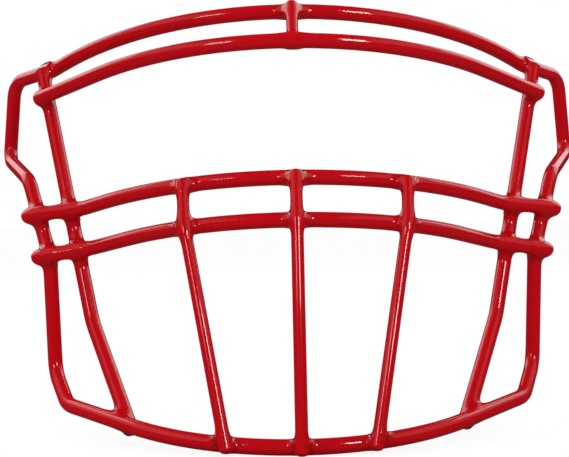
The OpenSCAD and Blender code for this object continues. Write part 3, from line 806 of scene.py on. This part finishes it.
def finish_collar(mesh, facing, crease_shade, name, node, material):
    """Keeps the collar's painted crease shade as an attribute and puts it in place."""
    attribute = mesh.attributes.new("crease_shade", "FLOAT", "POINT")
    attribute.data.foreach_set("value", crease_shade.astype(np.float32))
    finish_piece(mesh, facing, name, node, material)


def finish_piece(mesh, facing, name, node, material):
    """Gives a piece its shading, coat and place in the frame."""
    mesh.shade_smooth()
    mesh.normals_split_custom_set_from_vertices(facing.tolist())
    mesh.materials.append(material)
    mesh.name = name
    piece = bpy.data.objects.new(name, mesh)
    bpy.context.scene.collection.objects.link(piece)
    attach(piece, BODY)
    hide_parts(node)


def mirrored_mesh(mesh):
    """A copy of a mesh on the other side of the guard, with its faces outwards."""
    bm = bmesh.new()
    bm.from_mesh(mesh)
    bmesh.ops.scale(bm, vec=(-1, 1, 1), verts=bm.verts)
    bmesh.ops.reverse_faces(bm, faces=bm.faces)
    other = bpy.data.meshes.new("collar")
    bm.to_mesh(other)
    bm.free()
    return other


def collar_name(node):
    return node.replace("weld_", "", 1) + "_collar"


def make_collars(context, words):
    """Models every weld whose name holds one of the words, on both sides where it has two."""
    settings = context.scene.face_guard_welds
    guard = Guard()
    material = coat_material(context.scene.face_guard_coat)
    welds = [weld for weld in guard.welds if any(word in weld[0] for word in words)]
    if not welds:
        raise RuntimeError("no weld matches " + ", ".join(words))
    for node, first, second, near in welds:
        rods = (guard.rods[first], guard.rods[second])
        least = settings.thick_reach if rods[0].radius == rods[1].radius else settings.thin_reach
        mesh, facing, crease_shade = weld_collar(rods, near, least, settings)
        if "_side_" in node:
            left, right = node.replace("side", "left", 1), node.replace("side", "right", 1)
            other = mirrored_mesh(mesh)
            finish_collar(other, facing * (-1, 1, 1), crease_shade, collar_name(left), left, material)
            finish_collar(mesh, facing, crease_shade, collar_name(right), right, material)
        else:
            finish_collar(mesh, facing, crease_shade, collar_name(node), node, material)


# The dip coat


def node_of(tree, kind, place, **values):
    node = tree.nodes.new(kind)
    node.location = place
    for key, value in values.items():
        if key in node.inputs:
            node.inputs[key].default_value = value
        else:
            setattr(node, key, value)
    return node


def ramp_node(tree, place, source, start, finish, **settings):
    """Maps a source's values from one range to another."""
    node = node_of(tree, "ShaderNodeMapRange", place, **settings)
    for name, value in zip(("From Min", "From Max", "To Min", "To Max"), (*start, *finish)):
        node.inputs[name].default_value = value
    tree.links.new(source, node.inputs["Value"])
    return node.outputs["Result"]


def coat_material(coat):
    """Thick glossy red dip coat: soft runs, fine peel, random darker patches, and painted shade, a deeper red
    in the welds' creases.
    """
    material = bpy.data.materials.get("Red dip coat")
    if material:
        return material
    material = bpy.data.materials.new("Red dip coat")
    material.use_nodes = True
    tree = material.node_tree
    tree.nodes.clear()
    link = tree.links.new
    place = node_of(tree, "ShaderNodeTexCoord", (-1500, 0))
    noise = "ShaderNodeTexNoise"
    runs = node_of(tree, noise, (-1200, 200), Scale=1 / coat.run_size, Detail=2.0, Roughness=0.45)
    peel = node_of(tree, noise, (-1200, -200), Scale=1 / coat.peel_size, Detail=2.0, Roughness=0.5)
    drift = node_of(tree, noise, (-1200, 500), Scale=PATCHES_PER_METRE, Detail=3.0, Roughness=0.55)
    # Painted shade from the collars' creases
    crease_shade = node_of(tree, "ShaderNodeAttribute", (-1200, 800), attribute_name="crease_shade")
    crease_shade.attribute_type = "GEOMETRY"
    for texture in (runs, peel, drift):
        link(place.outputs["Object"], texture.inputs["Vector"])
    patchy = ramp_node(tree, (-900, 500), drift.outputs["Fac"], PATCH_RANGE, (0, PATCH_DEEPENS))
    # Painted crease shade and random patches together deepen the red
    thick = node_of(tree, "ShaderNodeMath", (-700, 650), operation="MULTIPLY_ADD")
    thick.inputs[1].default_value = CREASE_SHADE_DEEPENS
    link(crease_shade.outputs["Fac"], thick.inputs[0])
    link(patchy, thick.inputs[2])
    paint = node_of(tree, "ShaderNodeMix", (-450, 500), data_type="RGBA")
    paint.inputs[6].default_value = (*coat.colour, 1)
    paint.inputs[7].default_value = (*coat.crease_shade_colour, 1)
    link(thick.outputs["Value"], paint.inputs[0])
    satin = ramp_node(tree, (-450, 200), runs.outputs["Fac"], (0, 1), SATIN_RANGE)
    soft = node_of(tree, "ShaderNodeBump", (-700, -100), Strength=1.0, Distance=coat.run_height)
    link(runs.outputs["Fac"], soft.inputs["Height"])
    fine = node_of(tree, "ShaderNodeBump", (-450, -200), Strength=1.0, Distance=coat.peel_height)
    link(peel.outputs["Fac"], fine.inputs["Height"])
    link(soft.outputs["Normal"], fine.inputs["Normal"])
    shader = node_of(tree, "ShaderNodeBsdfPrincipled", (0, 200))
    shader.inputs["Specular IOR Level"].default_value = 0.0
    shader.inputs["Coat Weight"].default_value = 1.0
    shader.inputs["Coat Roughness"].default_value = coat.roughness
    shader.inputs["Coat IOR"].default_value = SKIN_IOR
    link(paint.outputs[2], shader.inputs["Base Color"])
    link(satin, shader.inputs["Roughness"])
    link(soft.outputs["Normal"], shader.inputs["Normal"])
    link(fine.outputs["Normal"], shader.inputs["Coat Normal"])
    out = node_of(tree, "ShaderNodeOutputMaterial", (350, 200))
    link(shader.outputs["BSDF"], out.inputs["Surface"])
    return material


def coat_nodes(context, names):
    """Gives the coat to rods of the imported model."""
    material = coat_material(context.scene.face_guard_coat)
    for name in names:
        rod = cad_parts.get(name)
        if rod is None:
            raise RuntimeError("the packed model has no rod named " + name)
        for slot in rod.material_slots:
            slot.material = material


def trim_strut(context):
    """Coats a copy of the strut whose lower end is trimmed."""
    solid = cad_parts.get("brow_strut")
    if solid is None:
        raise RuntimeError("the packed model has no rod named brow_strut")
    strut = Guard().rods["brow_strut"]
    point, way = strut.trim
    bm = bmesh.new()
    bm.from_mesh(solid.data)
    bmesh.ops.transform(bm, matrix=solid.matrix_world, verts=bm.verts)
    whole = bm.verts[:] + bm.edges[:] + bm.faces[:]
    cut = bmesh.ops.bisect_plane(bm, geom=whole, plane_co=point, plane_no=way, clear_outer=True)["geom_cut"]
    bmesh.ops.contextual_create(bm, geom=[g for g in cut if isinstance(g, bmesh.types.BMEdge)])
    bmesh.ops.recalc_face_normals(bm, faces=bm.faces)
    facing = facing_of(slope_of(strut.gap, coordinates(bm)))
    mesh = bpy.data.meshes.new("strut")
    bm.to_mesh(mesh)
    bm.free()
    finish_piece(mesh, facing, "strut_rod", "brow_strut", coat_material(context.scene.face_guard_coat))


# The studio


def look_matrix():
    """The camera's turn and place: the ways right, up and back, and its spot, as columns."""
    turn = np.array(Matrix.Rotation(CAMERA_YAW, 3, "Z"))
    lean = np.array(Matrix.Rotation(CAMERA_ROLL, 3, "Y"))
    right, forward, up = lean @ turn
    spot = np.array(CAMERA_AIM_MM) * MM - forward * CAMERA_BACK_MM * MM
    matrix = Matrix.Identity(4)
    for column, way in enumerate((right, up, -forward, spot)):
        for row in range(3):
            matrix[row][column] = way[row]
    return matrix


def make_camera(context, lens):
    data = bpy.data.cameras.new("camera")
    camera = bpy.data.objects.new("camera", data)
    context.scene.collection.objects.link(camera)
    camera.matrix_world = look_matrix()
    data.sensor_fit = "HORIZONTAL"
    data.sensor_width = CAMERA_SENSOR_MM
    data.lens = lens / MM
    data.shift_x, data.shift_y = CAMERA_SHIFT
    data.clip_start = 0.01
    context.scene.camera = camera


def make_softbox(context, name, azimuth, height, width, length, radiance):
    """A softbox that faces the guard and doesn't show itself."""
    data = bpy.data.lights.new(name, "AREA")
    data.shape = "RECTANGLE"
    data.size = 2 * SOFTBOX_AWAY * tan(radians(width) / 2)
    data.size_y = 2 * SOFTBOX_AWAY * tan(radians(length) / 2)
    data.energy = radiance * pi * data.size * data.size_y
    lamp = bpy.data.objects.new(name, data)
    context.scene.collection.objects.link(lamp)
    azimuth, height = radians(azimuth), radians(height)
    way = Vector((sin(azimuth) * cos(height), -cos(azimuth) * cos(height), sin(height)))
    lamp.location = Vector(SOFTBOX_AIM) + way * SOFTBOX_AWAY
    lamp.rotation_euler = way.to_track_quat("Z", "Y").to_euler()
    lamp.visible_camera = False


def make_world(context, studio):
    """Light all round, more of it on the left. The gloss sees a dark room with a pale wall on each side."""
    world = bpy.data.worlds.new("studio")
    context.scene.world = world
    world.use_nodes = True
    tree = world.node_tree
    tree.nodes.clear()
    link = tree.links.new
    path = node_of(tree, "ShaderNodeLightPath", (-900, 400))
    place = node_of(tree, "ShaderNodeTexCoord", (-1300, 0))
    axes = node_of(tree, "ShaderNodeSeparateXYZ", (-1100, 0))
    link(place.outputs["Generated"], axes.inputs["Vector"])
    lit = node_of(tree, "ShaderNodeMath", (-700, 250), operation="MULTIPLY_ADD")
    lit.inputs[1].default_value = -studio.fill * studio.lean
    lit.inputs[2].default_value = studio.fill
    link(axes.outputs["X"], lit.inputs[0])
    side = node_of(tree, "ShaderNodeMath", (-900, 50), operation="ABSOLUTE")
    link(axes.outputs["X"], side.inputs[0])
    smooth = {"interpolation_type": "SMOOTHSTEP"}
    aside = ramp_node(tree, (-700, 50), side.outputs["Value"], WALL_ASIDE, (0, 1), **smooth)
    to_wall = (0, studio.gloss_wall)
    above = ramp_node(tree, (-700, -200), axes.outputs["Z"], WALL_ABOVE, to_wall, **smooth)
    wall = node_of(tree, "ShaderNodeMath", (-500, -50), operation="MULTIPLY_ADD")
    wall.inputs[2].default_value = studio.gloss_fill
    link(aside, wall.inputs[0])
    link(above, wall.inputs[1])
    room = node_of(tree, "ShaderNodeMix", (-300, 150), data_type="FLOAT")
    link(path.outputs["Is Glossy Ray"], room.inputs[0])
    link(lit.outputs["Value"], room.inputs[2])
    link(wall.outputs["Value"], room.inputs[3])
    seen = node_of(tree, "ShaderNodeMix", (-150, 250), data_type="FLOAT")
    seen.inputs[3].default_value = 1.0
    link(path.outputs["Is Camera Ray"], seen.inputs[0])
    link(room.outputs[0], seen.inputs[2])
    light = node_of(tree, "ShaderNodeBackground", (50, 200), Color=(1, 1, 1, 1))
    link(seen.outputs[0], light.inputs["Strength"])
    out = node_of(tree, "ShaderNodeOutputWorld", (250, 200))
    link(light.outputs["Background"], out.inputs["Surface"])


def floor_material(colour):
    """A pale matt floor that the camera sees as white, with the guard's soft shadow on it."""
    material = bpy.data.materials.new("Pale floor")
    material.use_nodes = True
    tree = material.node_tree
    tree.nodes.clear()
    link = tree.links.new
    path = node_of(tree, "ShaderNodeLightPath", (-600, 300))
    share = node_of(tree, "ShaderNodeMath", (-400, 300), operation="MULTIPLY")
    share.inputs[1].default_value = FLOOR_GLOW
    link(path.outputs["Is Camera Ray"], share.inputs[0])
    place = node_of(tree, "ShaderNodeTexCoord", (-900, -100))
    cloud = node_of(tree, "ShaderNodeTexNoise", (-700, -100), Scale=3.0, Detail=2.0)
    link(place.outputs["Object"], cloud.inputs["Vector"])
    tone = node_of(tree, "ShaderNodeMix", (-650, -100), data_type="RGBA")
    tone.inputs[6].default_value = (*[c * FLOOR_CLOUD for c in colour], 1)
    tone.inputs[7].default_value = (*colour, 1)
    link(cloud.outputs["Fac"], tone.inputs[0])
    seen = node_of(tree, "ShaderNodeMix", (-450, -100), data_type="RGBA")
    seen.inputs[7].default_value = (1, 1, 1, 1)
    link(path.outputs["Is Camera Ray"], seen.inputs[0])
    link(tone.outputs[2], seen.inputs[6])
    mirrored = node_of(tree, "ShaderNodeMix", (-300, -100), data_type="RGBA")
    mirrored.inputs[7].default_value = (FLOOR_MIRRORED, FLOOR_MIRRORED, FLOOR_MIRRORED, 1)
    link(path.outputs["Is Glossy Ray"], mirrored.inputs[0])
    link(seen.outputs[2], mirrored.inputs[6])
    matt = node_of(tree, "ShaderNodeBsdfDiffuse", (-150, -100))
    link(mirrored.outputs[2], matt.inputs["Color"])
    glow = node_of(tree, "ShaderNodeEmission", (-200, 100), Strength=1.0)
    mix = node_of(tree, "ShaderNodeMixShader", (50, 100))
    link(share.outputs["Value"], mix.inputs["Fac"])
    link(matt.outputs["BSDF"], mix.inputs[1])
    link(glow.outputs["Emission"], mix.inputs[2])
    out = node_of(tree, "ShaderNodeOutputMaterial", (250, 100))
    link(mix.outputs["Shader"], out.inputs["Surface"])
    return material


def make_floor(context, colour):
    """A wide round floor just below the guard."""
    bm = bmesh.new()
    bmesh.ops.create_circle(bm, cap_ends=True, segments=96, radius=FLOOR_RADIUS)
    mesh = bpy.data.meshes.new("floor")
    bm.to_mesh(mesh)
    bm.free()
    mesh.transform(Matrix.Translation((0, 0, CAD_BOX[0][2] - FLOOR_BELOW)))
    mesh.materials.append(floor_material(colour))
    floor = bpy.data.objects.new("floor", mesh)
    context.scene.collection.objects.link(floor)


# Operators


class FACEGUARD_OT_stage(bpy.types.Operator):
    """Sets the floor, the lights and the camera"""

    bl_idname = "faceguard.stage"
    bl_label = "Set the stage"
    bl_options = {"REGISTER", "UNDO"}

    def execute(self, context):
        studio = context.scene.face_guard_studio
        make_camera(context, studio.lens)
        make_world(context, studio)
        for name, azimuth, height, width, length, radiance in SOFTBOXES:
            make_softbox(context, name, azimuth, height, width, length, getattr(studio, radiance))
        make_floor(context, studio.floor_colour)
        context.scene.view_settings.view_transform = "Standard"
        return {"FINISHED"}


class FACEGUARD_OT_loop(bpy.types.Operator):
    """Coats the closed loop of the brow, the sides and the chin"""

    bl_idname = "faceguard.loop"
    bl_label = "Coat the perimeter loop"
    bl_options = {"REGISTER", "UNDO"}

    def execute(self, context):
        coat_nodes(context, ["perimeter_loop"])
        return {"FINISHED"}


class FACEGUARD_OT_bars(bpy.types.Operator):
    """Coats the lower brow bar and the two cross bars"""

    bl_idname = "faceguard.bars"
    bl_label = "Coat the bars"
    bl_options = {"REGISTER", "UNDO"}

    def execute(self, context):
        coat_nodes(context, ["lower_brow_bar", "upper_cross_bar", "lower_cross_bar"])
        return {"FINISHED"}


class FACEGUARD_OT_uprights(bpy.types.Operator):
    """Coats the two uprights"""

    bl_idname = "faceguard.uprights"
    bl_label = "Coat the uprights"
    bl_options = {"REGISTER", "UNDO"}

    def execute(self, context):
        coat_nodes(context, ["left_upright", "right_upright"])
        return {"FINISHED"}


class FACEGUARD_OT_thin_rods(bpy.types.Operator):
    """Coats the strut, the centre vertical and the two diagonals"""

    bl_idname = "faceguard.thin_rods"
    bl_label = "Coat the thin rods"
    bl_options = {"REGISTER", "UNDO"}

    def execute(self, context):
        coat_nodes(context, ["centre_vertical", "left_diagonal", "right_diagonal"])
        trim_strut(context)
        return {"FINISHED"}


class FACEGUARD_OT_strut_welds(bpy.types.Operator):
    """Models the two welds of the brow strut"""

    bl_idname = "faceguard.strut_welds"
    bl_label = "Weld the strut"
    bl_options = {"REGISTER", "UNDO"}

    def execute(self, context):
        make_collars(context, ["weld_strut"])
        return {"FINISHED"}


class FACEGUARD_OT_upright_welds(bpy.types.Operator):
    """Models the five welds of each upright"""

    bl_idname = "faceguard.upright_welds"
    bl_label = "Weld the uprights"
    bl_options = {"REGISTER", "UNDO"}

    def execute(self, context):
        make_collars(context, ["weld_side_upright"])
        return {"FINISHED"}


class FACEGUARD_OT_side_welds(bpy.types.Operator):
    """Models the welds of the cross bars' wrapped ends to the side rods"""

    bl_idname = "faceguard.side_welds"
    bl_label = "Weld the wrapped ends"
    bl_options = {"REGISTER", "UNDO"}

    def execute(self, context):
        make_collars(context, ["weld_side_side"])
        return {"FINISHED"}


class FACEGUARD_OT_thin_welds(bpy.types.Operator):
    """Models the welds of the centre vertical and the diagonals"""

    bl_idname = "faceguard.thin_welds"
    bl_label = "Weld the thin rods"
    bl_options = {"REGISTER", "UNDO"}

    def execute(self, context):
        make_collars(context, ["diagonal", "weld_centre"])
        return {"FINISHED"}


class FACEGUARD_PT_panel(bpy.types.Panel):
    """Lists the guard's sizes and colours and the steps that dress it"""

    bl_idname = "FACEGUARD_PT_panel"
    bl_label = "Face Guard"
    bl_space_type = "VIEW_3D"
    bl_region_type = "UI"
    bl_category = "Face Guard"

    def draw(self, context):
        scene = context.scene
        groups = (scene.face_guard_coat, scene.face_guard_welds, scene.face_guard_studio)
        for title, group in zip(("Coat", "Welds", "Studio"), groups):
            box = self.layout.box()
            box.label(text=title)
            for key in group.bl_rna.properties.keys():
                if key not in ("rna_type", "name"):
                    box.prop(group, key)
        for step in STEPS:
            self.layout.operator(step.bl_idname)


GROUPS = (CoatSettings, WeldSettings, StudioSettings)
STEPS = (
    FACEGUARD_OT_stage, FACEGUARD_OT_loop, FACEGUARD_OT_bars, FACEGUARD_OT_uprights, FACEGUARD_OT_thin_rods,
    FACEGUARD_OT_strut_welds, FACEGUARD_OT_upright_welds, FACEGUARD_OT_side_welds, FACEGUARD_OT_thin_welds,
)


def register():
    for one in (*GROUPS, *STEPS, FACEGUARD_PT_panel):
        bpy.utils.register_class(one)
    bpy.types.Scene.face_guard_coat = PointerProperty(type=CoatSettings)
    bpy.types.Scene.face_guard_welds = PointerProperty(type=WeldSettings)
    bpy.types.Scene.face_guard_studio = PointerProperty(type=StudioSettings)


def unregister():
    del bpy.types.Scene.face_guard_studio
    del bpy.types.Scene.face_guard_welds
    del bpy.types.Scene.face_guard_coat
    for one in reversed((*GROUPS, *STEPS, FACEGUARD_PT_panel)):
        bpy.utils.unregister_class(one)


def main():
    register()
    bpy.ops.faceguard.stage()
    bpy.ops.faceguard.loop()
    bpy.ops.faceguard.bars()
    bpy.ops.faceguard.uprights()
    bpy.ops.faceguard.thin_rods()
    bpy.ops.faceguard.strut_welds()
    bpy.ops.faceguard.upright_welds()
    bpy.ops.faceguard.side_welds()
    bpy.ops.faceguard.thin_welds()


if __name__ == "__main__":
    main()
